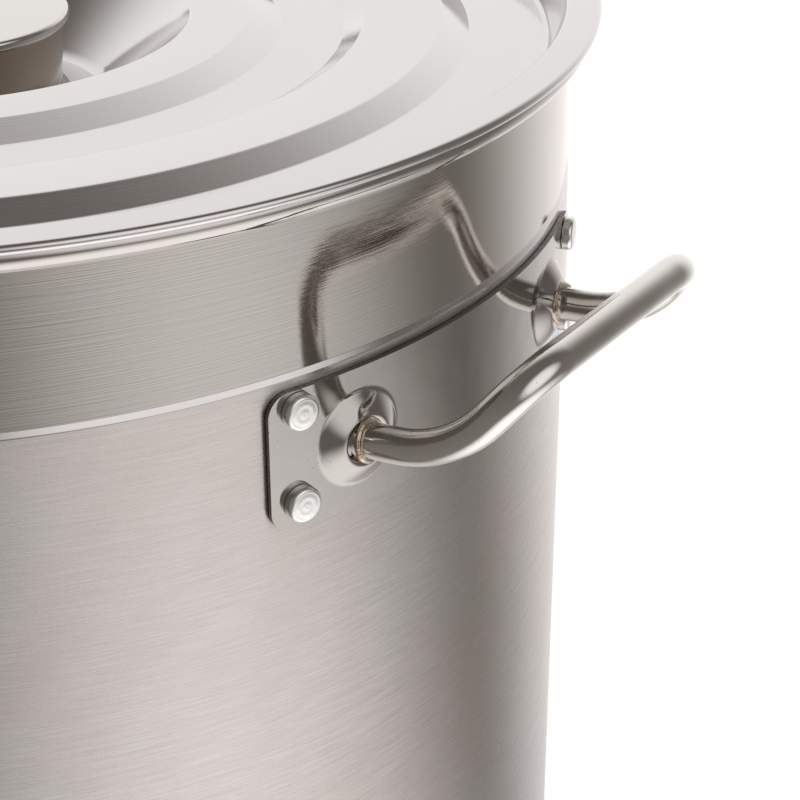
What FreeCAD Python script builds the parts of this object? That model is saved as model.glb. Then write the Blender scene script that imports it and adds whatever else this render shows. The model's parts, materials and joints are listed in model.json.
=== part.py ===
"""Brew kettle: a tall stainless kettle with a drop-in lid, a recessed lid knob and two riveted rod handles.

Frame: millimetres, origin at the centre of the base where the kettle stands, +Z up.
The handles lie on +X (right) and -X (left).
"""
import FreeCAD
import Part
import Sketcher
import math
import os

Vector = FreeCAD.Vector

# Driving dimensions, in millimetres, or in degrees where the name ends in _angle.
DIMENSIONS = {
    # kettle body
    "kettle_height": 400.0,
    "body_radius": 199.4,
    "neck_radius": 198.6,
    "wall_sheet": 1.0,
    "shoulder_top": 348.1,
    "shoulder_drop": 2.2,
    "shoulder_bend": 5.0,
    "crease_bend": 0.5,
    "rim_roll": 3.0,
    "rim_roll_flat": 0.1,
    "rim_lip_offset": 1.4,
    "seam_height": 22.0,
    "floor_bend": 12.0,
    # bonded base
    "core_radius": 182.0,
    "core_thickness": 6.0,
    "cap_sheet": 0.6,
    "cap_clearance": 0.2,
    "cap_bend": 1.8,
    # lid
    "lid_sheet": 0.9,
    "lid_gap": 0.3,
    "lid_radius": 207.8,
    "lid_edge_fall": 0.4,
    "lid_roll": 2.8,
    "lid_roll_bend": 1.35,
    "lid_lip_width": 1.5,
    "lid_band_inner": 197.2,
    "lid_band_bend": 1.6,
    "lid_well_radius": 192.0,
    "lid_well_depth": 12.9,
    "outer_riser_foot": 167.4,
    "outer_riser_top": 158.6,
    "outer_step_depth": 8.1,
    "middle_step_top": 134.2,
    "middle_step_depth": 9.6,
    "middle_step_foot": 127.4,
    "inner_well_depth": 13.6,
    "inner_riser_foot": 108.1,
    "inner_riser_top": 97.4,
    "inner_step_depth": 9.4,
    "dish_mouth_radius": 79.2,
    "dish_floor_radius": 50.0,
    "dish_depth": 36.0,
    "lid_bend": 2.0,
    "dish_bend": 9.0,
    # knob
    "knob_radius": 41.0,
    "knob_depth": 7.2,
    "knob_edge": 3.6,
    "knob_edge_bend": 1.3,
    "knob_lip_gap": 0.3,
    "knob_sheet": 0.8,
    "knob_neck_top": 39.2,
    "knob_neck_foot": 36.9,
    "knob_foot_radius": 39.4,
    "knob_foot_bend": 1.2,
    "knob_base_radius": 39.7,
    "knob_base_thickness": 1.0,
    "stud_radius": 3.0,
    "stud_head": 5.0,
    "stud_tail": 1.0,
    "nut_radius": 5.8,
    "nut_height": 5.0,
    "washer_radius": 9.0,
    "washer_thickness": 1.2,
    "bore_clearance": 0.1,
    "thread_clearance": 0.05,
    "bore_overrun": 1.0,
    # handles
    "plate_middle": 323.4,
    "plate_height": 41.0,
    "plate_end_angle": 22.6,
    "plate_sheet": 1.5,
    "plate_gap": 0.3,
    "plate_corner": 6.5,
    "dome_angle": 14.4,
    "dome_radius": 13.4,
    "dome_height": 4.2,
    "dome_crown": 9.5,
    "dome_crown_fall": 0.3,
    "dome_bend": 5.0,
    "dome_skirt": 0.7,
    "dome_sink": 1.2,
    "dome_lap": 0.9,
    "rod_radius": 5.0,
    "rod_inner_end": 200.4,
    "rod_spare": 6.0,
    "leg_spread": 51.06,
    "leg_root_height": 324.2,
    "leg_knee": 224.4,
    "leg_tilt_angle": 6.0,
    "grip_reach": 243.6,
    "grip_half": 45.0,
    "grip_height": 351.6,
    "knee_bend": 38.0,
    "grip_bend": 17.6,
    "weld_ring_radius": 6.2,
    "weld_bead_radius": 1.3,
    "weld_stand": 0.4,
    "rivet_angle": 20.05,
    "rivet_middle": 324.4,
    "rivet_pitch": 27.5,
    "rivet_head_radius": 5.3,
    "rivet_head_height": 3.4,
    "rivet_head_crown": 0.25,
    "rivet_head_edge": 1.0,
    "rivet_head_clearance": 0.05,
    "rivet_shank_radius": 2.5,
    "rivet_tail_radius": 4.4,
    "rivet_tail_height": 2.2,
    "rivet_tail_edge": 0.7,
    "rivet_tail_clearance": 0.1,
}

SHEET_NAME = "Dimensions"
FULL_TURN = 360.0
SIDES = {"right": 0.0, "left": 180.0}
ENDS = {"front": -1, "rear": 1}
ROWS = {"lower": -1, "upper": 1}


class Size:
    """A dimension that knows both its value and the spreadsheet expression it comes from."""

    def __init__(self, value, text):
        self.value = value
        self.text = text

    def __add__(self, other):
        other = sized(other)
        return Size(self.value + other.value, "(%s + %s)" % (self.text, other.text))

    def __sub__(self, other):
        other = sized(other)
        return Size(self.value - other.value, "(%s - %s)" % (self.text, other.text))

    def __mul__(self, factor):
        return Size(self.value * factor, "(%s * %r)" % (self.text, factor))

    def __truediv__(self, divisor):
        return Size(self.value / divisor, "(%s / %r)" % (self.text, divisor))


def sized(quantity):
    """A plain number as a Size; a Size as it is."""
    return quantity if isinstance(quantity, Size) else Size(float(quantity), repr(float(quantity)))


def sheet_value(name):
    """One driving dimension, read from the spreadsheet."""
    return float(getattr(FreeCAD.ActiveDocument.getObject(SHEET_NAME), name))


def dim(name):
    """The Size of one driving dimension."""
    return Size(sheet_value(name), SHEET_NAME + "." + name)


def bind(obj, prop, size):
    """Set a property to a size and tie it to the spreadsheet."""
    obj.setExpression(prop, sized(size).text)


def add_sheet(doc):
    """Write the driving dimensions into the spreadsheet, one named cell each."""
    sheet = doc.addObject("Spreadsheet::Sheet", SHEET_NAME)
    for row, (name, value) in enumerate(DIMENSIONS.items(), start=1):
        sheet.set("A%d" % row, name)
        sheet.set("B%d" % row, str(value))
        sheet.setAlias("B%d" % row, name)
    doc.recompute()


def corner_turn(before, corner, after, radius):
    """Tangent points, middle and turning sense of the bend of one radius at a corner."""
    back = (before - corner).normalize()
    ahead = (after - corner).normalize()
    turn = math.pi - back.getAngle(ahead)
    reach = radius * math.tan(turn / 2)
    bisector = (back + ahead).normalize()
    middle = corner + bisector * (radius / math.cos(turn / 2) - radius)
    leftward = ahead.cross(back).z > 0
    return corner + back * reach, middle, corner + ahead * reach, leftward


def bent_sketch(sketch, corners):
    """Draw a chain of straight runs with tangent bends; corners are (x, y, bend radius or None)."""
    corners = [(sized(x), sized(y), bend and sized(bend)) for x, y, bend in corners]
    points = [Vector(x.value, y.value, 0) for x, y, _ in corners]
    marks = [sketch.addGeometry(Part.Point(point), True) for point in points]
    starts = list(points)
    stops = list(points)
    bends = {}
    for i in range(1, len(corners) - 1):
        bend = corners[i][2]
        if bend:
            stops[i], middle, starts[i], leftward = corner_turn(*points[i - 1:i + 2], bend.value)
            arc = sketch.addGeometry(Part.Arc(stops[i], middle, starts[i]), False)
            bends[i] = (arc, 1 if leftward else 2, 2 if leftward else 1)
    lines = [Part.LineSegment(start, stop) for start, stop in zip(starts, stops[1:])]
    runs = [sketch.addGeometry(line, False) for line in lines]
    rules = []
    for i, mark in enumerate(marks):
        before = runs[i - 1] if i else None
        after = runs[i] if i < len(runs) else None
        if i in bends:
            arc, entry, leave = bends[i]
            rules.append(Sketcher.Constraint("PointOnObject", mark, 1, before))
            rules.append(Sketcher.Constraint("PointOnObject", mark, 1, after))
            rules.append(Sketcher.Constraint("Tangent", before, 2, arc, entry))
            rules.append(Sketcher.Constraint("Tangent", arc, leave, after, 1))
        else:
            if before is not None:
                rules.append(Sketcher.Constraint("Coincident", before, 2, mark, 1))
            if after is not None:
                rules.append(Sketcher.Constraint("Coincident", after, 1, mark, 1))
    sketch.addConstraint(rules)
    for mark, (x, y, _) in zip(marks, corners):
        place_mark(sketch, mark, x, y)
    for i, (arc, _, _) in bends.items():
        rule = sketch.addConstraint(Sketcher.Constraint("Radius", arc, corners[i][2].value))
        bind(sketch, "Constraints[%d]" % rule, corners[i][2])


def place_mark(sketch, mark, x, y):
    """Hold a sketch point at sizes measured from the sketch's origin."""
    for kind, size in (("DistanceX", x), ("DistanceY", y)):
        rule = sketch.addConstraint(Sketcher.Constraint(kind, -1, 1, mark, 1, size.value))
        bind(sketch, "Constraints[%d]" % rule, size)


def upright(sketch):
    """Turn a free sketch into the XZ plane, so that its x is a radius and its y a height."""
    sketch.Placement = FreeCAD.Placement(Vector(), FreeCAD.Rotation(Vector(1, 0, 0), 90))


def spun_sheet(doc, label, corners, thickness, side):
    """A piece spun from sheet: a bent outline thickened to one side and turned round its axis.

    side is 1 for material to the left of the outline's direction and -1 for the right.
    """
    sketch = doc.addObject("Sketcher::SketchObject", label + "_outline")
    upright(sketch)
    bent_sketch(sketch, corners)
    section = doc.addObject("Part::Offset2D", label + "_section")
    section.Source = sketch
    section.Mode = "Skin"
    section.Fill = True
    bind(section, "Value", sized(thickness) * side)
    return turned(doc, label, section)


def turned(doc, label, section):
    """A full turn of a section round Z."""
    solid = doc.addObject("Part::Revolution", label)
    solid.Source = section
    solid.Axis = Vector(0, 0, 1)
    solid.Base = Vector()
    solid.Angle = FULL_TURN
    solid.Solid = True
    return solid


def cylinder(doc, label, radius, height, base=Vector(), axis=Vector(0, 0, 1)):
    """A cylinder from its base point along an axis."""
    solid = doc.addObject("Part::Cylinder", label)
    bind(solid, "Radius", radius)
    bind(solid, "Height", height)
    solid.Placement = FreeCAD.Placement(base, FreeCAD.Rotation(Vector(0, 0, 1), axis))
    return solid


def joined(doc, kind, label, base, tool):
    """A boolean of two objects: kind is Cut, Fuse or Common."""
    result = doc.addObject("Part::" + kind, label)
    result.Base = base
    result.Tool = tool
    return result


def outward(angle):
    """The horizontal unit vector at an angle from +X."""
    return Vector(math.cos(math.radians(angle)), math.sin(math.radians(angle)), 0)


def kettle_wall(doc):
    """The rolled sheet wall: a brushed body, a shoulder, a narrower neck and a rolled rim."""
    body = dim("body_radius")
    neck = dim("neck_radius")
    sheet = dim("wall_sheet")
    roll = dim("rim_roll")
    top = dim("kettle_height") - sheet
    ledge = dim("shoulder_top")
    # The roll is a little taller than two bends, so that every run keeps some length.
    roll_width = roll * 2 + dim("rim_roll_flat")
    corners = [
        (body, dim("seam_height"), None),
        (body, ledge - dim("shoulder_drop"), dim("shoulder_bend")),
        (neck, ledge, dim("crease_bend")),
        (neck, top, roll),
        (neck + roll_width, top, roll),
        (neck + roll_width, top - roll_width, roll),
        (neck + dim("rim_lip_offset"), top - roll_width, None),
    ]
    wall = spun_sheet(doc, "kettle_wall_blank", corners, sheet, 1)
    return rivet_holes(doc, "kettle_wall", wall, body - sheet * 3, sheet * 6)


def rivet_places():
    """Side angle, end sign, row sign and name of every rivet."""
    return [(side, end, row, "%s_rivet_%s_%s" % (name, row_name, end_name))
            for name, side in SIDES.items()
            for row_name, row in ROWS.items()
            for end_name, end in ENDS.items()]


def rivet_height(row):
    """Height of a rivet row above the base."""
    return sheet_value("rivet_middle") + row * sheet_value("rivet_pitch") / 2


def rivet_holes(doc, label, base, start, length, sides=tuple(SIDES.values())):
    """Cut the handle rivets' holes through a wall or a plate."""
    bores = []
    radius = dim("rivet_shank_radius") + dim("bore_clearance") / 2
    for side, end, row, name in rivet_places():
        if side in sides:
            direction = outward(side + end * sheet_value("rivet_angle"))
            foot = direction * start.value + Vector(0, 0, rivet_height(row))
            bores.append(cylinder(doc, label + "_" + name, radius, length, foot, direction))
    bank = doc.addObject("Part::MultiFuse", label + "_bores")
    bank.Shapes = bores
    return joined(doc, "Cut", label, base, bank)


def bottom_pan(doc):
    """The pressed bottom, welded to the wall's lower edge at the seam."""
    body = dim("body_radius")
    under = dim("cap_sheet") + dim("core_thickness")
    corners = [
        (0.0, under, None),
        (body, under, dim("floor_bend")),
        (body, dim("seam_height"), None),
    ]
    return spun_sheet(doc, "bottom_pan", corners, dim("wall_sheet"), 1)


def bottom_core(doc):
    """The aluminium disc that spreads the heat under the pan."""
    base = Vector(0, 0, sheet_value("cap_sheet"))
    return cylinder(doc, "bottom_core", dim("core_radius"), dim("core_thickness"), base)


def bottom_cap(doc):
    """The steel cap pressed over the aluminium disc; the kettle stands on it."""
    edge = dim("core_radius") + dim("cap_clearance") + dim("cap_sheet")
    corners = [
        (0.0, 0.0, None),
        (edge, 0.0, dim("cap_bend")),
        (edge, dim("cap_sheet") + dim("core_thickness"), None),
    ]
    return spun_sheet(doc, "bottom_cap", corners, dim("cap_sheet"), 1)


def lid_top():
    """Height of the lid's rim band at its inner edge; the band lies on the kettle's rolled rim."""
    return dim("kettle_height") + dim("lid_gap") + dim("lid_sheet")


def lid_pan(doc):
    """The spun lid: rolled edge, sunk ring, two steps with a fold between them, and a central dish."""
    top = lid_top()
    bend = dim("lid_bend")
    edge = dim("lid_radius")
    edge_top = top - dim("lid_edge_fall")
    curl = dim("lid_roll_bend")
    corners = [
        (dim("stud_radius") + dim("bore_clearance"), top - dim("dish_depth"), None),
        (dim("dish_floor_radius"), top - dim("dish_depth"), dim("dish_bend")),
        (dim("dish_mouth_radius"), top - dim("inner_step_depth"), bend),
        (dim("inner_riser_top"), top - dim("inner_step_depth"), bend),
        (dim("inner_riser_foot"), top - dim("inner_well_depth"), bend),
        (dim("middle_step_foot"), top - dim("inner_well_depth"), bend),
        (dim("middle_step_top"), top - dim("middle_step_depth"), bend),
        (dim("outer_riser_top"), top - dim("outer_step_depth"), bend),
        (dim("outer_riser_foot"), top - dim("lid_well_depth"), bend),
        (dim("lid_well_radius"), top - dim("lid_well_depth"), bend),
        (dim("lid_band_inner"), top, dim("lid_band_bend")),
        (edge, edge_top, curl),
        (edge, edge_top - dim("lid_roll"), curl),
        (edge - dim("lid_lip_width"), edge_top - dim("lid_roll"), None),
    ]
    return spun_sheet(doc, "lid_pan", corners, dim("lid_sheet"), -1)


def dish_floor():
    """Height of the dish's floor, which carries the knob."""
    return lid_top() - dim("dish_depth")


def bored(doc, label, base, disc, clearance):
    """A disc, given as its radius and thickness, bored right through for the stud."""
    radius, thickness = disc
    start = (base - dim("bore_overrun")).value
    solid = cylinder(doc, label + "_disc", radius, thickness, Vector(0, 0, base.value))
    length = thickness + dim("bore_overrun") * 2
    bore = cylinder(doc, label + "_bore", dim("stud_radius") + clearance, length, Vector(0, 0, start))
    return joined(doc, "Cut", label, solid, bore)


def lid_knob_base(doc):
    """The disc under the knob, bored for the stud."""
    disc = (dim("knob_base_radius"), dim("knob_base_thickness"))
    return bored(doc, "lid_knob_base", dish_floor(), disc, dim("bore_clearance"))


def lid_knob_shell(doc):
    """The knob's tapered neck, flanged at its foot."""
    flange = dish_floor() + dim("knob_base_thickness") + dim("knob_sheet")
    corners = [
        (dim("knob_neck_top"), lid_top() - dim("knob_depth") - dim("knob_sheet"), None),
        (dim("knob_neck_foot"), flange, dim("knob_foot_bend")),
        (dim("knob_foot_radius"), flange, None),
    ]
    return spun_sheet(doc, "lid_knob_shell", corners, dim("knob_sheet"), -1)


def lid_knob_cap(doc):
    """The knob's flat top, rolled under at its edge."""
    top = lid_top() - dim("knob_depth")
    corners = [
        (0.0, top, None),
        (dim("knob_radius"), top, dim("knob_edge_bend")),
        (dim("knob_radius"), top - dim("knob_edge"), dim("knob_edge_bend")),
        (dim("knob_neck_top") + dim("knob_lip_gap"), top - dim("knob_edge"), None),
    ]
    return spun_sheet(doc, "lid_knob_cap", corners, dim("knob_sheet"), -1)


def prism(doc, label, radius, height, base):
    """A hexagonal prism standing on a point."""
    solid = doc.addObject("Part::Prism", label)
    solid.Polygon = 6
    bind(solid, "Circumradius", radius)
    bind(solid, "Height", height)
    solid.Placement = FreeCAD.Placement(base, FreeCAD.Rotation())
    return solid


def lid_knob_stud(doc):
    """The hexagon-headed stud that ties the knob's base to the lid."""
    seat = dish_floor() + dim("knob_base_thickness")
    under = nut_foot() - dim("stud_tail")
    head = prism(doc, "knob_stud_head", dim("nut_radius"), dim("stud_head"), Vector(0, 0, seat.value))
    shank = cylinder(doc, "knob_stud_shank", dim("stud_radius"), seat - under, Vector(0, 0, under.value))
    return joined(doc, "Fuse", "lid_knob_stud", head, shank)


def lid_knob_washer(doc):
    """The washer under the lid."""
    base = dish_floor() - dim("lid_sheet") - dim("washer_thickness")
    disc = (dim("washer_radius"), dim("washer_thickness"))
    return bored(doc, "lid_knob_washer", base, disc, dim("bore_clearance"))


def nut_foot():
    """Height of the nut's lower face."""
    return dish_floor() - dim("lid_sheet") - dim("washer_thickness") - dim("nut_height")


def lid_knob_nut(doc):
    """The nut that draws the knob down on the lid."""
    foot = Vector(0, 0, nut_foot().value)
    start = Vector(0, 0, (nut_foot() - dim("bore_overrun")).value)
    block = prism(doc, "knob_nut_block", dim("nut_radius"), dim("nut_height"), foot)
    length = dim("nut_height") + dim("bore_overrun") * 2
    bore = cylinder(doc, "knob_nut_bore", dim("stud_radius") + dim("thread_clearance"), length, start)
    return joined(doc, "Cut", "lid_knob_nut", block, bore)


def plate_radius():
    """Outer radius of the handle plates."""
    return dim("body_radius") + dim("plate_gap") + dim("plate_sheet")


def handle_blank(doc, name, side):
    """A curved strip of the handle plate, cut from a ring by a rounded oblong."""
    outer = plate_radius()
    middle = sheet_value("plate_middle")
    low = Vector(0, 0, middle - sheet_value("plate_height"))
    ring = cylinder(doc, name + "_ring_outside", outer, dim("plate_height") * 2, low)
    core = cylinder(doc, name + "_ring_inside", outer - dim("plate_sheet"), dim("plate_height") * 2, low)
    band = joined(doc, "Cut", name + "_ring", ring, core)
    oblong = doc.addObject("Sketcher::SketchObject", name + "_oblong")
    reach = outer * math.sin(math.radians(sheet_value("plate_end_angle")))
    rise = dim("plate_height") / 2
    corner = dim("plate_corner")
    seam = (0.0, rise, None)
    start = [seam, (reach, rise, corner), (reach, rise * -1.0, corner)]
    finish = [(reach * -1.0, rise * -1.0, corner), (reach * -1.0, rise, corner), seam]
    bent_sketch(oblong, start + finish)
    block = doc.addObject("Part::Extrusion", name + "_block")
    block.Base = oblong
    block.DirMode = "Custom"
    block.Dir = Vector(0, 0, 1)
    bind(block, "LengthFwd", outer * 2)
    block.Solid = True
    # The oblong's x runs round the kettle and its y up; the block grows out through the ring.
    turn = FreeCAD.Rotation(Vector(0, 1, 0), Vector(0, 0, 1), Vector(1, 0, 0))
    block.Placement = FreeCAD.Placement(Vector(0, 0, middle), FreeCAD.Rotation(Vector(0, 0, 1), side) * turn)
    return joined(doc, "Common", name + "_strip", band, block)


def radial_placement(radius, angle, height):
    """A placement whose Z points straight out from the kettle's axis."""
    direction = outward(angle)
    spot = direction * radius + Vector(0, 0, height)
    return FreeCAD.Placement(spot, FreeCAD.Rotation(Vector(0, 0, 1), direction))


def handle_dome(doc, label, angle):
    """A pressed dome of the plate, holed for the rod."""
    corners = [
        (dim("rod_radius") + dim("bore_clearance"), dim("dome_height"), None),
        (dim("dome_crown"), dim("dome_height") - dim("dome_crown_fall"), dim("dome_bend")),
        (dim("dome_radius") + dim("dome_skirt"), dim("dome_sink") * -1.0, None),
    ]
    dome = spun_sheet(doc, label, corners, dim("plate_sheet"), -1)
    dome.Placement = radial_placement(plate_radius().value, angle, sheet_value("plate_middle"))
    return dome


def handle_plate(doc, side_name, side):
    """The riveted plate of one handle, with its two domes."""
    name = side_name + "_handle_plate"
    strip = handle_blank(doc, name, side)
    holes = []
    domes = []
    for end_name, end in ENDS.items():
        angle = side + end * sheet_value("dome_angle")
        start = plate_radius() - dim("plate_sheet") * 4
        place = radial_placement(start.value, angle, sheet_value("plate_middle"))
        mouth = dim("dome_radius") - dim("dome_lap")
        hole = cylinder(doc, name + "_" + end_name + "_mouth", mouth, dim("plate_sheet") * 8)
        hole.Placement = place
        holes.append(hole)
        domes.append(handle_dome(doc, name + "_" + end_name + "_dome", angle))
    mouths = doc.addObject("Part::MultiFuse", name + "_mouths")
    mouths.Shapes = holes
    pierced = joined(doc, "Cut", name + "_pierced", strip, mouths)
    pressed = doc.addObject("Part::MultiFuse", name + "_pressed")
    pressed.Shapes = [pierced] + domes
    # The domes' skirts are trimmed flush with the plate's inner face, clear of the wall.
    trim = cylinder(doc, name + "_trim", dim("body_radius") + dim("plate_gap"), dim("kettle_height"))
    trimmed = joined(doc, "Cut", name + "_trimmed", pressed, trim)
    inner = plate_radius() - dim("plate_sheet") * 3
    return rivet_holes(doc, name, trimmed, inner, dim("plate_sheet") * 6, (side,))


def leg_height(x):
    """Height of a leg's centre line at a distance from the axis."""
    run = x - sheet_value("rod_inner_end")
    return sheet_value("leg_root_height") + run * math.tan(math.radians(sheet_value("leg_tilt_angle")))


def rod_path():
    """The bent rod's centre line: leg, knee, riser, grip and back, as tangent lines and arcs."""
    knee = Vector(sheet_value("leg_knee"), sheet_value("leg_spread"), leg_height(sheet_value("leg_knee")))
    grip = Vector(sheet_value("grip_reach"), sheet_value("grip_half"), sheet_value("grip_height"))
    inner_end = sheet_value("rod_inner_end") - sheet_value("rod_spare")
    foot = Vector(inner_end, sheet_value("leg_spread"), leg_height(inner_end))
    half = [foot, knee, grip]
    points = half + [Vector(p.x, -p.y, p.z) for p in reversed(half)]
    bends = [sheet_value("knee_bend"), sheet_value("grip_bend")]
    radii = bends + bends[::-1]
    edges = []
    start = points[0]
    for i, radius in enumerate(radii, start=1):
        stop, middle, onward, _ = corner_turn(*points[i - 1:i + 2], radius)
        edges.append(Part.LineSegment(start, stop).toShape())
        edges.append(Part.Arc(stop, middle, onward).toShape())
        start = onward
    edges.append(Part.LineSegment(start, points[-1]).toShape())
    return Part.Wire(edges)


def handle_rod(doc, side_name, side):
    """The bent round rod of one handle; its ends stop behind the domes, clear of the wall."""
    path = rod_path()
    foot = path.OrderedVertexes[0].Point
    heading = (path.OrderedVertexes[1].Point - foot).normalize()
    disc = Part.Wire([Part.Circle(foot, heading, sheet_value("rod_radius")).toShape()])
    rod = path.makePipeShell([disc], True, False)
    clear_radius = sheet_value("body_radius") + sheet_value("plate_gap")
    rod = rod.cut(Part.makeCylinder(clear_radius, sheet_value("kettle_height")))
    feature = doc.addObject("Part::Feature", side_name + "_handle_rod")
    feature.Shape = rod.Solids[0]
    feature.Placement = FreeCAD.Placement(Vector(), FreeCAD.Rotation(Vector(0, 0, 1), side))
    return feature


def rod_weld(doc, side_name, side, end_name, end):
    """The weld bead that closes the joint between the rod and its dome."""
    bead = doc.addObject("Part::Torus", "%s_%s_rod_weld" % (side_name, end_name))
    bind(bead, "Radius1", dim("weld_ring_radius"))
    bind(bead, "Radius2", dim("weld_bead_radius"))
    lean = math.radians(sheet_value("leg_tilt_angle"))
    along = Vector(math.cos(lean), 0, math.sin(lean))
    crown = (plate_radius() + dim("dome_height")).value * math.cos(math.radians(sheet_value("dome_angle")))
    root = Vector(crown, end * sheet_value("leg_spread"), leg_height(crown))
    spot = root + along * sheet_value("weld_stand")
    place = FreeCAD.Placement(spot, FreeCAD.Rotation(Vector(0, 0, 1), along))
    turn = FreeCAD.Placement(Vector(), FreeCAD.Rotation(Vector(0, 0, 1), side))
    bead.Placement = turn * place
    return bead


def origin_plane(body, role):
    """One of a body's own origin planes."""
    return next(item for item in body.Origin.OriginFeatures if item.Role == role)


def rivet(doc, label, angle, height):
    """One solid rivet: turned head outside the plate, shank, and formed tail inside the wall."""
    body = doc.addObject("PartDesign::Body", label)
    sketch = body.newObject("Sketcher::SketchObject", label + "_half")
    sketch.AttachmentSupport = [(origin_plane(body, "XZ_Plane"), "")]
    sketch.MapMode = "FlatFace"
    head = plate_radius() + dim("rivet_head_height")
    inside = dim("body_radius") - dim("wall_sheet")
    tail = inside - dim("rivet_tail_height")
    # Heads and tails stand on the curved sheets with their rims just clear of them.
    seat = plate_radius() + dim("rivet_head_clearance")
    buck = inside - dim("rivet_tail_clearance")
    corners = [
        (0.0, head, None),
        (dim("rivet_head_radius"), head - dim("rivet_head_crown"), dim("rivet_head_edge")),
        (dim("rivet_head_radius"), seat, None),
        (dim("rivet_shank_radius"), seat, None),
        (dim("rivet_shank_radius"), buck, None),
        (dim("rivet_tail_radius"), buck, None),
        (dim("rivet_tail_radius"), tail, dim("rivet_tail_edge")),
        (0.0, tail, None),
        (0.0, head, None),
    ]
    bent_sketch(sketch, corners)
    turn = body.newObject("PartDesign::Revolution", label + "_turn")
    turn.Profile = sketch
    turn.ReferenceAxis = (sketch, ["V_Axis"])
    turn.Angle = FULL_TURN
    body.Placement = radial_placement(0.0, angle, height)
    return body


def all_pieces(doc):
    """Every separate piece of the kettle, in the order that it is put together."""
    pieces = [bottom_cap(doc), bottom_core(doc), bottom_pan(doc), kettle_wall(doc)]
    for side_name, side in SIDES.items():
        pieces.append(handle_plate(doc, side_name, side))
        pieces.append(handle_rod(doc, side_name, side))
        for end_name, end in ENDS.items():
            pieces.append(rod_weld(doc, side_name, side, end_name, end))
    for side, end, row, name in rivet_places():
        pieces.append(rivet(doc, name, side + end * sheet_value("rivet_angle"), rivet_height(row)))
    pieces += [lid_pan(doc), lid_knob_base(doc), lid_knob_shell(doc), lid_knob_cap(doc)]
    pieces += [lid_knob_stud(doc), lid_knob_washer(doc), lid_knob_nut(doc)]
    return pieces


def check(doc, pieces):
    """Stop if any object failed or any piece has no sound solid."""
    failed = [item.Label for item in doc.Objects if {"Invalid", "Error"} & set(item.State)]
    if failed:
        raise RuntimeError("failed objects: " + ", ".join(failed))
    for piece in pieces:
        shape = piece.Shape
        if shape.isNull() or not shape.isValid() or len(shape.Solids) != 1:
            raise RuntimeError("%s is not one sound solid" % piece.Label)


def main():
    doc = FreeCAD.newDocument("BrewKettle")
    add_sheet(doc)
    pieces = all_pieces(doc)
    doc.recompute()
    check(doc, pieces)
    os.makedirs("parts", exist_ok=True)
    for piece in pieces:
        piece.Shape.exportStep("parts/%s.step" % piece.Label)
        box = piece.Shape.BoundBox
        print("%-32s %10.1f mm3  z %.1f to %.1f" % (piece.Label, piece.Shape.Volume, box.ZMin, box.ZMax))


main()
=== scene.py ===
import json
import math

import bmesh
import bpy
from mathutils import Matrix, Vector, noise


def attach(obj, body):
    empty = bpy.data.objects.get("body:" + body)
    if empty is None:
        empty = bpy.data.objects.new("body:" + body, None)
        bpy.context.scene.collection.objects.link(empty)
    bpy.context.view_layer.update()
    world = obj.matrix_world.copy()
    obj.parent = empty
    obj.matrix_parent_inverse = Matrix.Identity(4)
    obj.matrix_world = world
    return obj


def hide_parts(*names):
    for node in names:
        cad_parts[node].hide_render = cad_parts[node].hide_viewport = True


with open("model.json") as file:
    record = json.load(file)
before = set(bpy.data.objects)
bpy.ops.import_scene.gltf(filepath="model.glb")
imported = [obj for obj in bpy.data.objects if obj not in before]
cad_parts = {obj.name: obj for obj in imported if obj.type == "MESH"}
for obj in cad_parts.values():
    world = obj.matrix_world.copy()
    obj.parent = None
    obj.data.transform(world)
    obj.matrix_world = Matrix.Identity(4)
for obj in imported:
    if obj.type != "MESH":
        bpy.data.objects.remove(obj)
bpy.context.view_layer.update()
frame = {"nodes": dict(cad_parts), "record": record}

MM = 0.001
TURN_STEPS = 360
ARC_STEP = math.radians(5)
MITRE_LIMIT = 0.5
MERGE_DISTANCE = 1e-7
NO_LENGTH = 1e-9
SHARP_EDGE = 35.0
RIGHT_ANGLE_FOLD = 50.0
NEVER_SHARP = 80.0

# Heights and radii in millimetres from the floor and the axis. They follow the CAD model, apart from tighter
# bends at the shoulder, finer domes, slimmer welds and softer rivet heads. A "bend" is a bend's radius.
KETTLE_TOP = 400.0
BODY_RADIUS = 199.4
NECK_RADIUS = 198.6
WALL_SHEET = 1.0
SHOULDER_LOW = 346.5
SHOULDER_LOW_BEND = 1.2
SHOULDER_HIGH = 348.0
SHOULDER_HIGH_BEND = 0.4
LEDGE_FOOT_MARGIN = 0.4
LEDGE_HEAD_MARGIN = 0.05
SEAM_HEIGHT = 22.0
RIM_WIDTH = 6.1
RIM_BEND = 3.0
RIM_LIP = 1.4

LID_TOP = 401.2
LID_SHEET = 0.9
LID_RADIUS = 207.8
DISH_DEPTH = 36.0
# The lid from its stud hole out to its rolled edge: radius, depth below the lid's top, bend.
LID_PROFILE = [
    (3.1, DISH_DEPTH, None),
    (50.0, DISH_DEPTH, 9.0),
    (79.2, 9.4, 2.0),
    (97.4, 9.4, 2.0),
    (108.1, 13.6, 2.0),
    (127.4, 13.6, 2.0),
    (134.2, 9.6, 2.0),
    (158.6, 8.1, 2.0),
    (167.4, 12.9, 2.0),
    (192.0, 12.9, 2.0),
    (197.2, 0.0, 1.6),
    (LID_RADIUS, 0.4, 1.35),
    (LID_RADIUS, 3.2, 1.35),
    (LID_RADIUS - 1.5, 3.2, None),
]

KNOB_SHEET = 0.8
KNOB_TOP = 394.0
KNOB_RADIUS = 41.0
KNOB_SKIRT = 3.6
KNOB_LIP = 1.5
KNOB_BEND = 1.3
KNOB_MIDDLE = 0.01
NECK_TOP_RADIUS = 39.2
NECK_FOOT_RADIUS = 36.9
NECK_FOOT_BEND = 1.2
FLANGE_RADIUS = 39.4
FLANGE_RISE = 1.8

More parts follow.
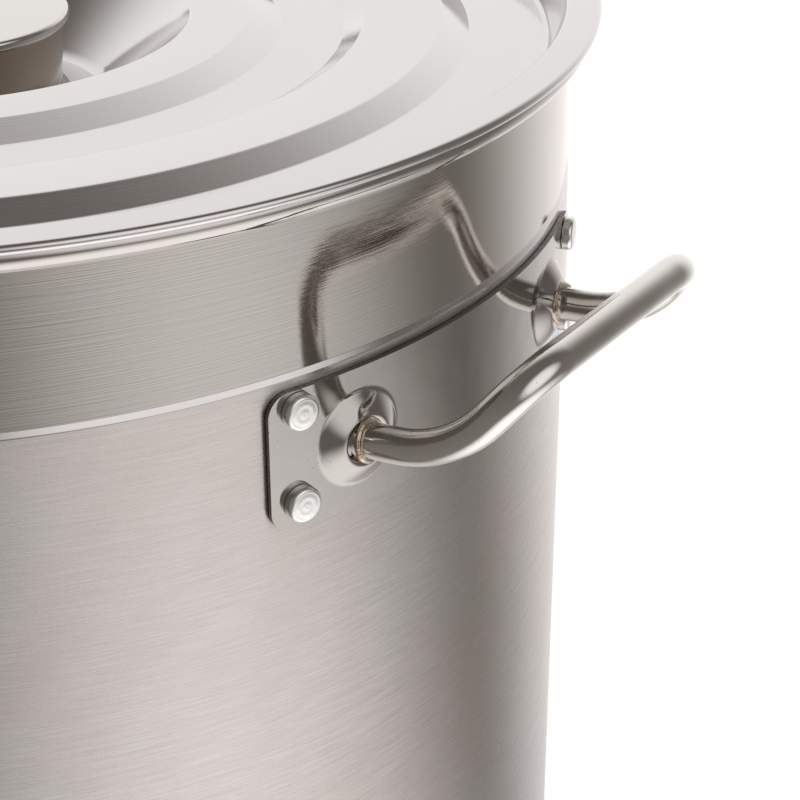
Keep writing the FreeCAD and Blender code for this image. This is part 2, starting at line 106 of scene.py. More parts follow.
PLATE_MIDDLE = 323.4
PLATE_HEIGHT = 41.0
PLATE_END_ANGLE = 22.6
PLATE_SHEET = 1.5
PLATE_OUTSIDE = 201.2
PLATE_CORNER = 6.5
PLATE_EDGE = 0.3
PLATE_EDGE_STEPS = 3
PLATE_EDGE_FOLD = math.radians(60)
PLATE_ROWS = 76
PLATE_COLUMNS = 320
CUT_FACE_LIMIT = 0.1
DOME_ANGLE = 14.4
DOME_HEIGHT = 4.1
DOME_CREST = 6.2
DOME_FOOT = 13.7
DOME_ROUNDNESS = 1.35
CRATER_EDGE = 7.6
CRATER_MARGIN = 0.4
CRATER_DEPTH = 1.1

ROD_RADIUS = 5.0
ROD_STEPS = 64
LEG_TILT = math.radians(6.0)
LEG_OFFSET = 51.06
LEG_HEIGHT = 324.2
LEG_LEVEL_X = 200.4
ROD_START_X = 193.1
KNEE_X = 224.4
KNEE_BEND = 38.0
GRIP = Vector((243.6, 45.0, 351.6))
GRIP_BEND = 17.6

WELD_X = 199.1
WELD_RING = 5.6
WELD_BEAD = 0.8
WELD_RING_STEPS = 160
WELD_BEAD_STEPS = 24
WELD_LUMP = 0.14
WELD_LUMP_SCALE = 3.1
WELD_LUMP_SHIFT = 5.0
WELD_RIPPLE = 0.02
WELD_RIPPLES = 34
WELD_GROOVE = 0.08
WELD_GROOVES = 6

RIVET_ANGLE = 20.05
RIVET_MIDDLE = 324.4
RIVET_PITCH = 27.5
RIVET_RADIUS = 5.15
RIVET_HEAD = 3.4
RIVET_CROWN = 0.25
RIVET_EDGE = 1.3
RIVET_SEAT = 0.05
RIVET_SEAT_EDGE = 0.4
SHANK_RADIUS = 2.5
TAIL_RADIUS = 4.4
TAIL_HEIGHT = 2.2
TAIL_SINK = 0.1
TAIL_EDGE = 0.7
RIVET_STEPS = 72

SIDES = {"right": 0.0, "left": 180.0}
ENDS = {"front": -1, "rear": 1}
ROWS = {"lower": -1, "upper": 1}


# ---------------------------------------------------------------- outlines

def bent(corners):
    """Points along straight runs joined by tangent arcs; corners are (x, y, bend radius or None)."""
    points = [Vector((corners[0][0], corners[0][1]))]
    for before, here, after in zip(corners, corners[1:], corners[2:]):
        corner = Vector(here[:2])
        if not here[2]:
            points.append(corner)
            continue
        points += bend_points(Vector(before[:2]), corner, Vector(after[:2]), here[2])
    points.append(Vector((corners[-1][0], corners[-1][1])))
    return points


def bend_points(before, corner, after, radius):
    """The arc of one radius that rounds a corner, as points; works in two or three dimensions."""
    back = (before - corner).normalized()
    ahead = (after - corner).normalized()
    turn = math.pi - back.angle(ahead)
    bisector = (back + ahead).normalized()
    centre = corner + bisector * (radius / math.cos(turn / 2))
    start = corner + back * (radius * math.tan(turn / 2)) - centre
    stop = corner + ahead * (radius * math.tan(turn / 2)) - centre
    steps = max(3, math.ceil(turn / ARC_STEP))
    return [centre + (start * math.sin(turn * (1 - k / steps)) + stop * math.sin(turn * k / steps))
            / math.sin(turn) for k in range(steps + 1)]


def thickened(points, thickness):
    """A closed section: an open outline and its copy set off to the left by the sheet's thickness."""
    offset = []
    for i, point in enumerate(points):
        ahead = (points[min(i + 1, len(points) - 1)] - point)
        behind = (point - points[max(i - 1, 0)])
        ahead = ahead.normalized() if ahead.length > NO_LENGTH else behind.normalized()
        behind = behind.normalized() if behind.length > NO_LENGTH else ahead
        along = (ahead + behind).normalized()
        stretch = 1 / max(MITRE_LIMIT, along.dot(ahead))
        offset.append(point + Vector((-along.y, along.x)) * thickness * stretch)
    return points + offset[::-1]


# ---------------------------------------------------------------- meshes

def mesh_object(name, verts, faces, material, sharp_angle=SHARP_EDGE):
    """A smooth-shaded mesh object whose edges stay sharp where faces meet at more than an angle."""
    mesh = bpy.data.meshes.new(name)
    mesh.from_pydata([tuple(v) for v in verts], [], faces)
    build = bmesh.new()
    build.from_mesh(mesh)
    bmesh.ops.remove_doubles(build, verts=build.verts, dist=MERGE_DISTANCE)
    bmesh.ops.recalc_face_normals(build, faces=build.faces)
    for face in build.faces:
        face.smooth = True
    limit = math.radians(sharp_angle)
    for edge in build.edges:
        edge.smooth = len(edge.link_faces) != 2 or edge.calc_face_angle(0) < limit
    build.to_mesh(mesh)
    build.free()
    obj = bpy.data.objects.new(name, mesh)
    bpy.context.scene.collection.objects.link(obj)
    mesh.materials.append(material)
    return obj


def lathe(name, section, material, steps=TURN_STEPS):
    """A closed section of (radius, height) points, in millimetres, turned round the Z axis."""
    verts = []
    for k in range(steps):
        angle = 2 * math.pi * k / steps
        verts += [(r * MM * math.cos(angle), r * MM * math.sin(angle), z * MM) for r, z in section]
    count = len(section)
    faces = []
    for k in range(steps):
        here = k * count
        there = ((k + 1) % steps) * count
        faces += [(here + i, there + i, there + (i + 1) % count, here + (i + 1) % count)
                  for i in range(count)]
    return mesh_object(name, verts, faces, material)


def placed(obj, matrix):
    """Put an object at a placement given in millimetres."""
    spot = matrix.copy()
    spot.translation = spot.translation * MM
    obj.matrix_world = spot
    return obj


def finish_piece(obj, body, slot, *nodes):
    """Hang a piece on its body's empty and hide the CAD nodes it stands for; the slot argument is not used.
    """
    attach(obj, body)
    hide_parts(*nodes)
    return obj


# ---------------------------------------------------------------- materials

class Shader:
    """A node material with a Principled shader and short ways to add nodes."""

    def __init__(self, name, colour, metallic=1.0, roughness=0.2, anisotropic=0.0, rotation=0.0):
        self.material = bpy.data.materials.new(name)
        self.material.use_nodes = True
        self.nodes = self.material.node_tree.nodes
        self.links = self.material.node_tree.links
        self.shader = self.nodes["Principled BSDF"]
        self.set("Base Color", (*colour, 1.0))
        self.set("Metallic", metallic)
        self.set("Roughness", roughness)
        self.set("Anisotropic", anisotropic)
        self.set("Anisotropic Rotation", rotation)
        self.coords = self.nodes.new("ShaderNodeTexCoord").outputs["Object"]

    def set(self, socket, value):
        """Give a shader socket a plain value."""
        self.shader.inputs[socket].default_value = value

    def link(self, output, socket):
        """Feed a shader socket from a node."""
        self.links.new(output, self.shader.inputs[socket])

    def scaled(self, scale, vector=None):
        """The coordinates multiplied axis by axis."""
        node = self.nodes.new("ShaderNodeVectorMath")
        node.operation = "MULTIPLY"
        self.links.new(vector or self.coords, node.inputs[0])
        node.inputs[1].default_value = scale
        return node.outputs["Vector"]

    def noise(self, vector, scale=1.0, detail=3.0, roughness=0.5):
        """Noise over scaled coordinates; the scales used are about grains per metre."""
        node = self.nodes.new("ShaderNodeTexNoise")
        self.links.new(vector, node.inputs["Vector"])
        node.inputs["Scale"].default_value = scale
        node.inputs["Detail"].default_value = detail
        node.inputs["Roughness"].default_value = roughness
        return node.outputs["Fac"]

    def math(self, operation, first, second=None):
        """One sum on numbers or sockets."""
        node = self.nodes.new("ShaderNodeMath")
        node.operation = operation
        for socket, value in zip(node.inputs, (first, second)):
            if value is None:
                continue
            if isinstance(value, (int, float)):
                socket.default_value = value
            else:
                self.links.new(value, socket)
        return node.outputs[0]

    def span(self, value, low, high, to_low, to_high, smooth=True):
        """Map a value from one range to another, held at the ends."""
        node = self.nodes.new("ShaderNodeMapRange")
        node.interpolation_type = "SMOOTHSTEP" if smooth else "LINEAR"
        self.links.new(value, node.inputs["Value"])
        for name, number in (("From Min", low), ("From Max", high), ("To Min", to_low), ("To Max", to_high)):
            node.inputs[name].default_value = number
        return node.outputs["Result"]

    def mix(self, factor, first, second):
        """Blend two colours, each a socket or a colour value."""
        node = self.nodes.new("ShaderNodeMix")
        node.data_type = "RGBA"
        self.links.new(factor, node.inputs["Factor"])
        for name, value in (("A", first), ("B", second)):
            socket = next(s for s in node.inputs if s.name == name and s.type == "RGBA")
            if isinstance(value, tuple):
                socket.default_value = (*value, 1.0)
            else:
                self.links.new(value, socket)
        return next(s for s in node.outputs if s.type == "RGBA")

    def shaded(self, colour, factor, floor=None):
        """A colour times a factor, which may first be held above a floor."""
        if floor is not None:
            factor = self.math("MAXIMUM", factor, floor)
        node = self.nodes.new("ShaderNodeVectorMath")
        node.operation = "SCALE"
        self.links.new(colour, node.inputs[0])
        self.links.new(factor, node.inputs["Scale"])
        return node.outputs["Vector"]

    def axes(self):
        """The separate x, y and z of the coordinates."""
        node = self.nodes.new("ShaderNodeSeparateXYZ")
        self.links.new(self.coords, node.inputs[0])
        return node.outputs

    def radius(self):
        """Distance from the object's Z axis."""
        x, y, _ = self.axes()
        return self.math("SQRT", self.math("ADD", self.math("MULTIPLY", x, x), self.math("MULTIPLY", y, y)))

    def bump(self, height, strength, distance, after=None):
        """Small relief from a height, on top of an earlier relief if one is given."""
        node = self.nodes.new("ShaderNodeBump")
        node.inputs["Strength"].default_value = strength
        node.inputs["Distance"].default_value = distance
        self.links.new(height, node.inputs["Height"])
        if after is not None:
            self.links.new(after, node.inputs["Normal"])
        return node.outputs["Normal"]

    def radial_tangent(self):
        """Brushing that runs round the object's Z axis."""
        node = self.nodes.new("ShaderNodeTangent")
        node.direction_type = "RADIAL"
        node.axis = "Z"
        self.link(node.outputs["Tangent"], "Tangent")


STEEL = (0.66, 0.635, 0.60)


def brushed_wall():
    """Body steel with fine level brushing, faint long streaks and cloudy patches."""
    s = Shader("brushed_wall", STEEL, roughness=0.27, anisotropic=1.0, rotation=0.25)
    s.radial_tangent()
    grain = s.noise(s.scaled((70, 70, 5200)), detail=4, roughness=0.7)
    long_grain = s.noise(s.scaled((60, 60, 2600)), detail=3)
    cloud = s.noise(s.scaled((11, 11, 7)), detail=4, roughness=0.55)
    tint = s.mix(s.span(cloud, 0.35, 0.68, 0, 1), (0.64, 0.59, 0.56), (0.69, 0.65, 0.635))
    streak = s.span(long_grain, 0.3, 0.7, 0.94, 1.03)
    s.link(s.shaded(tint, streak), "Base Color")
    s.link(s.span(grain, 0.25, 0.75, 0.23, 0.33), "Roughness")
    s.link(s.bump(grain, 0.08, 0.0003), "Normal")
    return s.material


def polished_neck():
    """The polished band under the rim: nearly a mirror, with light polishing lines."""
    s = Shader("polished_neck", (0.57, 0.535, 0.505), roughness=0.07, anisotropic=0.3, rotation=0.25)
    s.radial_tangent()
    lines = s.noise(s.scaled((30, 30, 2600)), detail=3)
    waves = s.noise(s.scaled((7, 7, 9)), detail=1)
    s.link(s.span(lines, 0.3, 0.7, 0.03, 0.07), "Roughness")
    fine = s.bump(lines, 0.09, 0.0002)
    s.link(s.bump(waves, 0.08, 0.004, fine), "Normal")
    return s.material


def spun_steel(name, colour, roughness, anisotropic=0.4, ring_scale=2600.0, depth=0.06):
    """Spun sheet with fine turning marks that run round its axis."""
    s = Shader(name, colour, roughness=roughness, anisotropic=anisotropic, rotation=0.25)
    s.radial_tangent()
    joined = s.nodes.new("ShaderNodeCombineXYZ")
    s.links.new(s.math("MULTIPLY", s.radius(), ring_scale), joined.inputs[0])
    s.links.new(s.math("MULTIPLY", s.axes()[2], ring_scale), joined.inputs[1])
    rings = s.noise(joined.outputs[0], detail=3)
    smear = s.noise(s.scaled((13, 13, 13)), detail=3)
    s.link(s.span(smear, 0.3, 0.7, roughness * 0.8, roughness * 1.35), "Roughness")
    s.link(s.bump(rings, depth, 0.0003), "Normal")
    return s.material


def polished_bar(name, colour, roughness):
    """Polished bar or plate with hairline scratches, small dents, tiny pits and dull specks."""
    s = Shader(name, colour, roughness=roughness)
    hair = s.noise(s.scaled((900, 160, 900)), detail=5, roughness=0.7)
    waves = s.noise(s.scaled((60, 60, 60)), detail=1)
    dull = s.noise(s.scaled((420, 420, 420)), detail=2)
    speck = s.noise(s.scaled((1500, 1500, 1500)), detail=1)
    pits = s.span(speck, 0.73, 0.82, 1.0, 0.0)
    s.link(s.shaded(s.mix(pits, tuple(c * 0.62 for c in colour), colour), pits, 0.8), "Base Color")
    s.link(s.span(dull, 0.5, 0.8, roughness * 0.8, roughness * 2.4), "Roughness")
    fine = s.bump(hair, 0.05, 0.0002)
    dents = s.bump(waves, 0.12, 0.0012, fine)
    s.link(s.bump(pits, 0.25, 0.0001, dents), "Normal")
    return s.material


def cut_edge_with_painted_shade():
    """The plate's sheared edge: dull as cut steel is, its dark colour painted shade along the plate's rim."""
    s = Shader("cut_edge_with_painted_shade", (0.24, 0.225, 0.21), roughness=0.45)
    marks = s.noise(s.scaled((900, 900, 300)), detail=3)
    s.link(s.span(marks, 0.3, 0.7, 0.32, 0.58), "Roughness")
    s.link(s.bump(marks, 0.2, 0.0002), "Normal")
    return s.material


def weld_metal():
    """Weld bead in thin rings, browned and straw-tinted by its own heat."""
    s = Shader("weld_metal", (0.50, 0.38, 0.28), roughness=0.24)
    patch = s.noise(s.scaled((300, 300, 300)), detail=4)
    warm = s.mix(s.span(patch, 0.38, 0.62, 0, 1), (0.40, 0.29, 0.21), (0.66, 0.57, 0.48))
    s.link(warm, "Base Color")
    s.link(s.span(patch, 0.3, 0.7, 0.16, 0.36), "Roughness")
    s.link(s.bump(patch, 0.25, 0.0006), "Normal")
    return s.material


def rivet_metal():
    """Pale satin rivet with turned rings on its head."""
    s = Shader("rivet_metal", (0.84, 0.83, 0.81), roughness=0.28)
    rings = s.math("SINE", s.math("MULTIPLY", s.radius(), 3000.0))
    pits = s.noise(s.scaled((700, 700, 700)), detail=3)
    s.link(s.span(pits, 0.3, 0.7, 0.24, 0.36), "Roughness")
    fine = s.bump(rings, 0.22, 0.0001)
    s.link(s.bump(pits, 0.05, 0.0002, fine), "Normal")
    return s.material


MATERIALS = {
    "brushed_wall": brushed_wall(),
    "polished_neck": polished_neck(),
    "polished_lid": spun_steel("polished_lid", (0.665, 0.645, 0.64), 0.10),
    "polished_knob": spun_steel("polished_knob", (0.66, 0.64, 0.61), 0.08),
    # The knob's neck: the knob's own steel, dark brown as painted shade under the cap.
    "shaded_knob_neck": spun_steel("shaded_knob_neck", (0.34, 0.285, 0.235), 0.09),
    "polished_plate": polished_bar("polished_plate", (0.47, 0.445, 0.42), 0.06),
    "polished_rod": polished_bar("polished_rod", (0.72, 0.695, 0.66), 0.06),
    # The plate's sheared edge: real dullness, and a dark colour that is painted shade along the rim.
    "cut_edge_with_painted_shade": cut_edge_with_painted_shade(),
    "weld_metal": weld_metal(),
    "rivet_metal": rivet_metal(),
    "core_aluminium": spun_steel("core_aluminium", (0.78, 0.78, 0.78), 0.35),
    "base_steel": spun_steel("base_steel", (0.62, 0.60, 0.58), 0.28, anisotropic=0.7, depth=0.2),
    "fastener_steel": polished_bar("fastener_steel", (0.60, 0.59, 0.58), 0.25),
}


# ---------------------------------------------------------------- kettle body

def kettle_wall():
    """The wall with its shoulder and rolled rim: brushed below, polished above the ledge, and the ledge paler
    as a painted highlight.
    """
    top = KETTLE_TOP - WALL_SHEET
    bead = NECK_RADIUS + RIM_WIDTH
    outline = bent([
        (BODY_RADIUS, SEAM_HEIGHT, None),
        (BODY_RADIUS, SHOULDER_LOW, SHOULDER_LOW_BEND),
        (NECK_RADIUS, SHOULDER_HIGH, SHOULDER_HIGH_BEND),
        (NECK_RADIUS, top, RIM_BEND),
        (bead, top, RIM_BEND),
        (bead, top - RIM_WIDTH, RIM_BEND),
        (NECK_RADIUS + RIM_LIP, top - RIM_WIDTH, None),
    ])
    wall = lathe("kettle_wall_skin", thickened(outline, WALL_SHEET), MATERIALS["brushed_wall"])
    wall.data.materials.append(MATERIALS["polished_neck"])
    # The ledge takes the lid's paler steel: a painted highlight on the shoulder.
    wall.data.materials.append(MATERIALS["polished_lid"])
    neck_finish = 1
    ledge_painted_highlight = 2
    ledge_foot = (SHOULDER_LOW - LEDGE_FOOT_MARGIN) * MM
    ledge_head = (SHOULDER_HIGH + LEDGE_HEAD_MARGIN) * MM
    for face in wall.data.polygons:
        if face.center.z >= ledge_head:
            face.material_index = neck_finish
        elif face.center.z >= ledge_foot:
            face.material_index = ledge_painted_highlight
    return finish_piece(wall, "kettle", "brushed_wall", "kettle_wall")


# ---------------------------------------------------------------- handles

def outward(angle):
    """The level unit vector at an angle in degrees from +X."""
    return Vector((math.cos(math.radians(angle)), math.sin(math.radians(angle)), 0))


def facing(radius, angle, height):
    """A placement in millimetres whose Z points straight out from the kettle's axis."""
    direction = outward(angle)
    matrix = Vector((0, 0, 1)).rotation_difference(direction).to_matrix().to_4x4()
    matrix.translation = direction * radius + Vector((0, 0, height))
    return matrix


def eased(value, low, high):
    """A smooth step from 0 at the low value to 1 at the high one."""
    share = min(1.0, max(0.0, (value - low) / (high - low)))
    return share * share * (3 - 2 * share)


def dome_rise(distance):
    """How far a pressed dome stands out of the plate at a distance from its middle."""
    share = min(1.0, max(0.0, (distance - DOME_CREST) / (DOME_FOOT - DOME_CREST)))
    crater = 1 - eased(distance, ROD_RADIUS + CRATER_MARGIN, CRATER_EDGE)
    return DOME_HEIGHT * (1 - share ** DOME_ROUNDNESS) - CRATER_DEPTH * crater


def plate_surface(offset, side):
    """Rows of plate points at an offset from its outer face, in millimetres."""
    half_width = PLATE_OUTSIDE * math.radians(PLATE_END_ANGLE)
    half_height = PLATE_HEIGHT / 2
    rows = []
    for j in range(PLATE_ROWS + 1):
        rise = half_height * math.sin(math.pi * (j / PLATE_ROWS - 0.5))
        depth = max(0.0, abs(rise) - (half_height - PLATE_CORNER))
        width = half_width - (PLATE_CORNER - math.sqrt(max(0.0, PLATE_CORNER ** 2 - depth ** 2)))
        row = []
        for i in range(PLATE_COLUMNS + 1):
            around = width * (2 * i / PLATE_COLUMNS - 1)
            reach = [math.hypot(around - end * PLATE_OUTSIDE * math.radians(DOME_ANGLE), rise)
                     for end in ENDS.values()]
            radius = PLATE_OUTSIDE + dome_rise(min(reach)) - offset
            angle = side + math.degrees(around / PLATE_OUTSIDE)
            row.append((outward(angle) * radius + Vector((0, 0, PLATE_MIDDLE + rise))) * MM)
        rows.append(row)
    return rows


def handle_plate(side_name, side):
    """The curved plate with two pressed domes, softened corners and a sheared edge darkened as painted shade.
    """
    layers = [plate_surface(0.0, side), plate_surface(PLATE_SHEET, side)]
    verts = []
    for layer in layers:
        for row in layer:
            verts += row
    rows = len(layers[0])
    columns = len(layers[0][0])
    size = rows * columns
    faces = []
    for j in range(rows - 1):
        for i in range(columns - 1):
            a = j * columns + i
            quad = (a, a + 1, a + columns + 1, a + columns)
            faces.append(quad)
            faces.append(tuple(size + v for v in reversed(quad)))
    rim = ([i for i in range(columns)]
           + [j * columns + columns - 1 for j in range(1, rows)]
           + [(rows - 1) * columns + i for i in range(columns - 2, -1, -1)]
           + [j * columns for j in range(rows - 2, 0, -1)])
    faces += [(a, size + a, size + b, b) for a, b in zip(rim, rim[1:] + rim[:1])]
    name = side_name + "_plate_skin"
    plate = mesh_object(name, verts, faces, MATERIALS["polished_plate"], RIGHT_ANGLE_FOLD)
    # Sheared side faces get the dark edge material: painted shade along the plate's rim.
    plate.data.materials.append(MATERIALS["cut_edge_with_painted_shade"])
    for face in plate.data.polygons:
        away = outward(math.degrees(math.atan2(face.center.y, face.center.x)))
        face.material_index = 1 if abs(face.normal.dot(away)) < CUT_FACE_LIMIT else 0
    bevel = plate.modifiers.new("edge", "BEVEL")
    bevel.width = PLATE_EDGE * MM
    bevel.segments = PLATE_EDGE_STEPS
    bevel.limit_method = "ANGLE"
    bevel.angle_limit = PLATE_EDGE_FOLD
    return finish_piece(plate, "kettle", "polished_plate", side_name + "_handle_plate")


def leg_point(x):
    """A point on the centre line of the rear leg."""
    return Vector((x, LEG_OFFSET, LEG_HEIGHT + (x - LEG_LEVEL_X) * math.tan(LEG_TILT)))


def rod_line():
    """The bent rod's centre line in millimetres: leg, knee, riser, grip and back."""
    half = [leg_point(ROD_START_X), leg_point(KNEE_X), GRIP]
    corners = half + [Vector((p.x, -p.y, p.z)) for p in reversed(half)]
    radii = [KNEE_BEND, GRIP_BEND, GRIP_BEND, KNEE_BEND]
    line = [corners[0]]
    for i, radius in enumerate(radii, start=1):
        line += bend_points(*corners[i - 1:i + 2], radius)
    return line + [corners[-1]]


def tube(name, line, radius, material, around=ROD_STEPS):
    """A round bar along a line of points, in millimetres, closed at both ends."""
    verts = []
    tangent = (line[1] - line[0]).normalized()
    normal = tangent.orthogonal().normalized()
    for i, point in enumerate(line):
        ahead = (line[min(i + 1, len(line) - 1)] - line[max(i - 1, 0)]).normalized()
        normal = (tangent.rotation_difference(ahead) @ normal).normalized()
        tangent = ahead
        side = tangent.cross(normal)
        for k in range(around):
            angle = 2 * math.pi * k / around
            verts.append((point + (normal * math.cos(angle) + side * math.sin(angle)) * radius) * MM)
    faces = []
    for i in range(len(line) - 1):
        for k in range(around):
            a = i * around + k
            b = i * around + (k + 1) % around
            faces.append((a, b, b + around, a + around))
    faces.append(tuple(reversed(range(around))))
    faces.append(tuple(range((len(line) - 1) * around, len(line) * around)))
    return mesh_object(name, verts, faces, material)


def handle_rod(side_name, side):
    """The polished round bar of one handle."""
    rod = tube(side_name + "_rod_skin", rod_line(), ROD_RADIUS, MATERIALS["polished_rod"])
    rod.data.transform(Matrix.Rotation(math.radians(side), 4, "Z"))
    return finish_piece(rod, "kettle", "polished_rod", side_name + "_handle_rod")


def rod_weld(side_name, side, end_name, end):
    """A thin rippled weld bead round the rod where it leaves its dome."""
    along = Vector((math.cos(LEG_TILT), 0, math.sin(LEG_TILT)))
    spot = Vector((WELD_X, end * LEG_OFFSET, leg_point(WELD_X).z))
    turn = Vector((0, 0, 1)).rotation_difference(along).to_matrix()
    verts = []
    for i in range(WELD_RING_STEPS):
        round_angle = 2 * math.pi * i / WELD_RING_STEPS
        ring = Vector((math.cos(round_angle), math.sin(round_angle), 0))
        lump = noise.noise(ring * WELD_LUMP_SCALE + Vector((end * WELD_LUMP_SHIFT, side, 0)))
        ripple = WELD_RIPPLE * math.sin(round_angle * WELD_RIPPLES)
        for k in range(WELD_BEAD_STEPS):
            bead_angle = 2 * math.pi * k / WELD_BEAD_STEPS
            groove = WELD_GROOVE * math.sin(bead_angle * WELD_GROOVES)
            bead = WELD_BEAD + WELD_LUMP * lump + ripple + groove
            local = ring * (WELD_RING + bead * math.cos(bead_angle))
            local = local + Vector((0, 0, bead * math.sin(bead_angle)))
            verts.append((spot + turn @ local) * MM)
    faces = []
    for i in range(WELD_RING_STEPS):
        for k in range(WELD_BEAD_STEPS):
            here = i * WELD_BEAD_STEPS
            there = (i + 1) % WELD_RING_STEPS * WELD_BEAD_STEPS
            ahead = (k + 1) % WELD_BEAD_STEPS
            faces.append((here + k, there + k, there + ahead, here + ahead))
    name = "%s_%s_rod_weld" % (side_name, end_name)
    weld = mesh_object(name + "_bead", verts, faces, MATERIALS["weld_metal"], NEVER_SHARP)
    weld.data.transform(Matrix.Rotation(math.radians(side), 4, "Z"))
    return finish_piece(weld, "kettle", "weld_metal", name)


def rivet(name, angle, height):
    """A rivet with a softly crowned head, its shank, and the tail inside the wall."""
    seat = PLATE_OUTSIDE + RIVET_SEAT
    head = PLATE_OUTSIDE + RIVET_HEAD
    inside = BODY_RADIUS - WALL_SHEET
    tail = inside - TAIL_HEIGHT
    section = bent([
        (0.0, head, None),
        (RIVET_RADIUS, head - RIVET_CROWN, RIVET_EDGE),
        (RIVET_RADIUS, seat, RIVET_SEAT_EDGE),
        (SHANK_RADIUS, seat, None),
        (SHANK_RADIUS, inside - TAIL_SINK, None),
        (TAIL_RADIUS, inside - TAIL_SINK, RIVET_SEAT_EDGE),
        (TAIL_RADIUS, tail, TAIL_EDGE),
        (0.0, tail, None),
    ])
    section = [(r, z - PLATE_OUTSIDE) for r, z in section]
    piece = lathe(name + "_turned", section, MATERIALS["rivet_metal"], steps=RIVET_STEPS)
    placed(piece, facing(PLATE_OUTSIDE, angle, height))
    return finish_piece(piece, "kettle", "rivet_metal", name)


def handles():
    """Both handles, each with its plate, rod, welds and rivets."""
    for side_name, side in SIDES.items():
        handle_plate(side_name, side)
        handle_rod(side_name, side)
        for end_name, end in ENDS.items():
            rod_weld(side_name, side, end_name, end)
            for row_name, row in ROWS.items():
                name = "%s_rivet_%s_%s" % (side_name, row_name, end_name)
                rivet(name, side + end * RIVET_ANGLE, RIVET_MIDDLE + row * RIVET_PITCH / 2)


# ---------------------------------------------------------------- lid

def lid_pan():
    """The spun lid: rolled edge, rim band, sunk ring, two steps and the dish."""
    outline = bent([(radius, LID_TOP - depth, bend) for radius, depth, bend in LID_PROFILE])
    pan = lathe("lid_pan_skin", thickened(outline, -LID_SHEET), MATERIALS["polished_lid"])
    return finish_piece(pan, "lid", "polished_lid", "lid_pan")


def lid_knob():
    """The knob's cap with its rolled edge, and the tapered neck on its foot, darkened as painted shade under
    the cap.
    """
    cap = thickened(bent([
        (KNOB_MIDDLE, KNOB_TOP, None),
        (KNOB_RADIUS, KNOB_TOP, KNOB_BEND),
        (KNOB_RADIUS, KNOB_TOP - KNOB_SKIRT, KNOB_BEND),
        (KNOB_RADIUS - KNOB_LIP, KNOB_TOP - KNOB_SKIRT, None),
    ]), -KNOB_SHEET)
    piece = lathe("lid_knob_cap_skin", cap, MATERIALS["polished_knob"])
    finish_piece(piece, "lid", "polished_knob", "lid_knob_cap")
    flange = LID_TOP - DISH_DEPTH + FLANGE_RISE
    neck = thickened(bent([
        (NECK_TOP_RADIUS, KNOB_TOP - KNOB_SHEET, None),
        (NECK_FOOT_RADIUS, flange, NECK_FOOT_BEND),
        (FLANGE_RADIUS, flange, None),
    ]), -KNOB_SHEET)
    # The neck's darker copy of the knob's steel is painted shade under the cap.
    piece = lathe("lid_knob_shell_skin", neck, MATERIALS["shaded_knob_neck"])
    finish_piece(piece, "lid", "polished_knob", "lid_knob_shell")


def finish_cad_nodes():
    """Give every CAD node its slot's finish; the replaced ones are hidden."""
    slots = {part["node"]: part["material_slot"] for part in frame["record"]["subparts"]}
    for name, node in frame["nodes"].items():
        node.data.materials.clear()
        node.data.materials.append(MATERIALS[slots[name]])


# ---------------------------------------------------------------- studio

FLOOR_REACH = 12.0
FLOOR_PAINT = (0.93, 0.93, 0.93)
FLOOR_GLOW = 0.65


def studio_floor():
    """A plain pale floor, lit a little from within so that it stays white."""
    mesh = bpy.data.meshes.new("studio_floor")
    corners = [(x * FLOOR_REACH, y * FLOOR_REACH, 0) for x, y in ((-1, -1), (1, -1), (1, 1), (-1, 1))]
    mesh.from_pydata(corners, [], [(0, 1, 2, 3)])
    floor = bpy.data.objects.new("studio_floor", mesh)
    bpy.context.scene.collection.objects.link(floor)
    s = Shader("studio_floor", FLOOR_PAINT, metallic=0.0, roughness=0.9)
    s.set("Emission Color", (1, 1, 1, 1))
    s.set("Emission Strength", FLOOR_GLOW)
    mesh.materials.append(s.material)
    floor.visible_glossy = False


# The studio's plain soft light: an even glow that fades towards the ceiling, and round lamps with soft edges.
GLOW_BELOW = 0.25
GLOW_ABOVE = 0.15
# Each lamp: compass angle from +X and elevation, where its full light ends and where it has faded out, all in
# degrees, then its strength.
STUDIO_LAMPS = [
    (130, 0, 30, 80, 0.9),
    (-10, 20, 10, 40, 0.9),
    (0, -60, 10, 50, 1.2),
]
# The light's colour where there is none of it, and from the bright level up.
DIM_TINT = (1.0, 0.91, 0.82, 1)
BRIGHT_TINT = (1.0, 0.985, 0.98, 1)
BRIGHT_LEVEL = 0.7


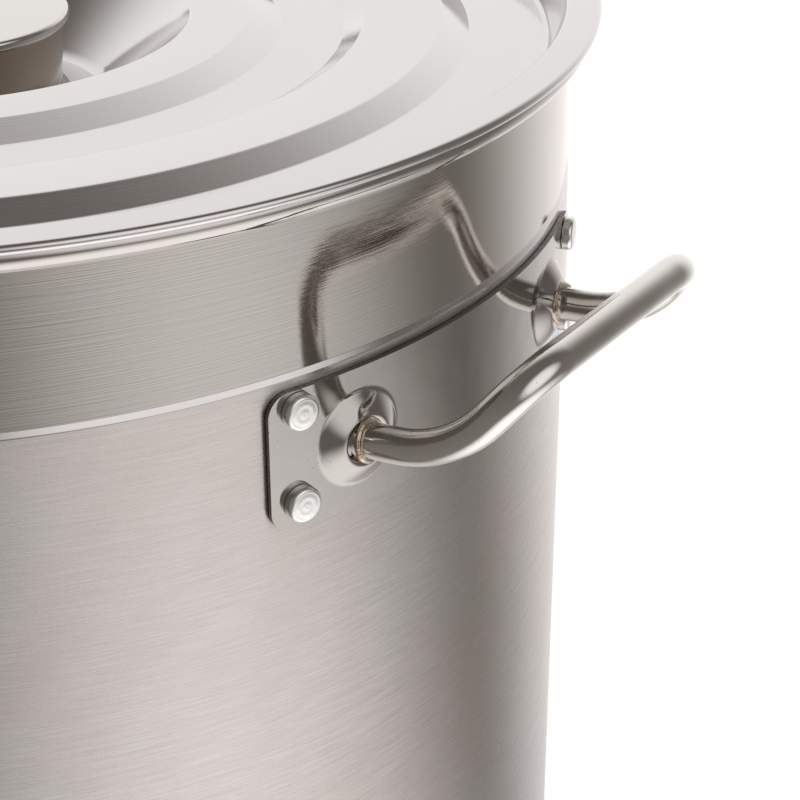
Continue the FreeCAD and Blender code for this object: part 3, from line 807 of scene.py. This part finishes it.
def studio_world():
    """Plain soft light: the even glow and the lamps added up, a little warm where it is dim."""
    world = bpy.data.worlds.new("studio")
    bpy.context.scene.world = world
    world.use_nodes = True
    nodes = world.node_tree.nodes
    links = world.node_tree.links
    direction = nodes.new("ShaderNodeTexCoord").outputs["Generated"]
    parts = nodes.new("ShaderNodeSeparateXYZ")
    links.new(direction, parts.inputs[0])
    glow = nodes.new("ShaderNodeMapRange")
    links.new(parts.outputs[2], glow.inputs["Value"])
    glow.inputs["From Min"].default_value = -1.0
    glow.inputs["To Min"].default_value = GLOW_BELOW
    glow.inputs["To Max"].default_value = GLOW_ABOVE
    level = glow.outputs["Result"]
    for compass, elevation, full, faded, strength in STUDIO_LAMPS:
        tilt = math.radians(elevation)
        toward = nodes.new("ShaderNodeVectorMath")
        toward.operation = "DOT_PRODUCT"
        links.new(direction, toward.inputs[0])
        toward.inputs[1].default_value = outward(compass) * math.cos(tilt) + Vector((0, 0, math.sin(tilt)))
        lamp = nodes.new("ShaderNodeMapRange")
        lamp.interpolation_type = "SMOOTHSTEP"
        links.new(toward.outputs["Value"], lamp.inputs["Value"])
        lamp.inputs["From Min"].default_value = math.cos(math.radians(faded))
        lamp.inputs["From Max"].default_value = math.cos(math.radians(full))
        lamp.inputs["To Max"].default_value = strength
        total = nodes.new("ShaderNodeMath")
        links.new(level, total.inputs[0])
        links.new(lamp.outputs["Result"], total.inputs[1])
        level = total.outputs[0]
    warm = nodes.new("ShaderNodeMix")
    warm.data_type = "RGBA"
    colours = [s for s in warm.inputs if s.type == "RGBA"]
    colours[0].default_value = DIM_TINT
    colours[1].default_value = BRIGHT_TINT
    depth = nodes.new("ShaderNodeMapRange")
    links.new(level, depth.inputs["Value"])
    depth.inputs["From Max"].default_value = BRIGHT_LEVEL
    links.new(depth.outputs["Result"], warm.inputs["Factor"])
    shade = nodes["Background"]
    links.new(next(s for s in warm.outputs if s.type == "RGBA"), shade.inputs["Color"])
    links.new(level, shade.inputs["Strength"])


# Where the camera stands, in degrees from +X and metres from the axis and the lid's top, and how it looks.
CAMERA_BEARING = -43.4
CAMERA_REACH = 0.6549
CAMERA_RISE = 0.1915
CAMERA_HEADING = 123.8
CAMERA_PITCH = 27.87
CAMERA_ROLL = -0.14
CAMERA_LENS = 94.14
CAMERA_SENSOR = 36.0


def studio_camera():
    """The camera, close above the right handle and looking down past the lid."""
    data = bpy.data.cameras.new("camera")
    data.sensor_width = CAMERA_SENSOR
    data.lens = CAMERA_LENS
    data.dof.use_dof = False
    camera = bpy.data.objects.new("camera", data)
    bpy.context.scene.collection.objects.link(camera)
    bpy.context.scene.camera = camera
    height = LID_TOP * MM + CAMERA_RISE
    camera.location = outward(CAMERA_BEARING) * CAMERA_REACH + Vector((0, 0, height))
    pitch = math.radians(CAMERA_PITCH)
    forward = outward(CAMERA_HEADING) * math.cos(pitch) - Vector((0, 0, math.sin(pitch)))
    turn = forward.to_track_quat("-Z", "Y").to_matrix().to_4x4()
    turn = turn @ Matrix.Rotation(math.radians(CAMERA_ROLL), 4, "Z")
    camera.matrix_world = Matrix.Translation(camera.location) @ turn


def studio():
    """Floor, light and camera."""
    studio_floor()
    studio_world()
    studio_camera()
    bpy.context.scene.view_settings.view_transform = "Standard"


# ---------------------------------------------------------------- everything

finish_cad_nodes()
kettle_wall()
handles()
lid_pan()
lid_knob()
studio()

bpy.context.view_layer.update()
